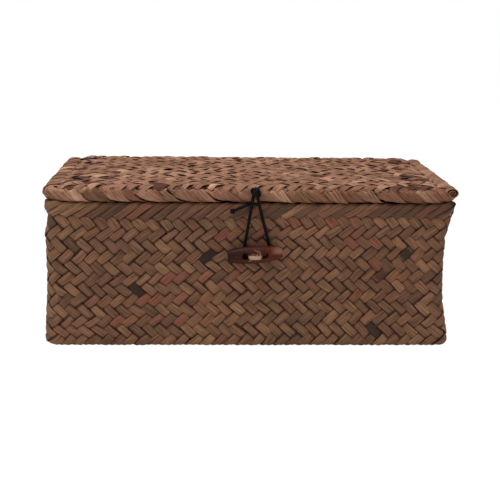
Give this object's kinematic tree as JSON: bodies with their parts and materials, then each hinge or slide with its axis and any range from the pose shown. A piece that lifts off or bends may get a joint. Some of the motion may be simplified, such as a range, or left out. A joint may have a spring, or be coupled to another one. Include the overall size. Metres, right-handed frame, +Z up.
{
  "type": "woven lidded box",
  "caption": "Rectangular plaited seagrass box with a lid laced on at the back, held shut by an elastic loop over a wooden toggle.",
  "frame": {"origin": "on the floor under the middle of the object, midway between the front of the toggle and the back of the lacings", "axes": "+X along the box to the viewer's right, +Y from the toggle to the hinge side, +Z up"},
  "size_m": [0.3034, 0.1794, 0.1213],
  "materials": {
    "seagrass": "dried plaited seagrass, matt with a faint silky sheen along the fibres",
    "lining": "plaited seagrass of the inner layer, a little paler",
    "cane": "peeled cane, satin",
    "twine": "natural twisted twine, matt",
    "toggle_wood": "red-brown hardwood, polished",
    "elastic": "black braided elastic cord, matt"
  },
  "bodies": {
    "basket": {"outer_basket": "seagrass", "inner_basket": "lining", "body_rim_fold": "seagrass", "body_rim_hoop": "cane", "hinge_tie_1": "twine", "hinge_tie_2": "twine", "hinge_tie_3": "twine", "hinge_tie_4": "twine", "toggle_thread": "twine", "toggle_thread_knot": "twine"},
    "lid": {"lid_rim_fold": "seagrass", "lid_top_mat": "seagrass", "lid_under_mat": "lining", "lid_rim_hoop": "cane", "cord_knot": "elastic", "cord_left_lead": "elastic", "cord_right_lead": "elastic", "cord_tail": "elastic", "cord_tail_knot": "elastic"},
    "closure_loop": {"cord_loop": "elastic"},
    "toggle": {"toggle_button": "toggle_wood"}
  },
  "joints": [
    {"name": "lid_hinge", "type": "hinge", "parent": "basket", "child": "lid", "pos_m": [0, 0.08785, 0.10915], "axis": [-1, 0, 0], "range_deg": [0, 105], "deforming": ["hinge_tie_1", "hinge_tie_2", "hinge_tie_3", "hinge_tie_4"]},
    {"name": "loop_swing", "type": "hinge", "parent": "lid", "child": "closure_loop", "pos_m": [0.0028, -0.0801, 0.10785], "axis": [-1, 0, 0], "range_deg": [-84, 0], "deforming": ["cord_loop"]},
    {"name": "toggle_turn", "type": "hinge", "parent": "basket", "child": "toggle", "pos_m": [0.0028, -0.08265, 0.0717], "axis": [0, 1, 0], "range_deg": [-90, 90], "deforming": ["toggle_thread"]}
  ],
  "couplings": [
    {"joint": "loop_swing", "follows": "lid_hinge", "ratio": -0.8}
  ]
}
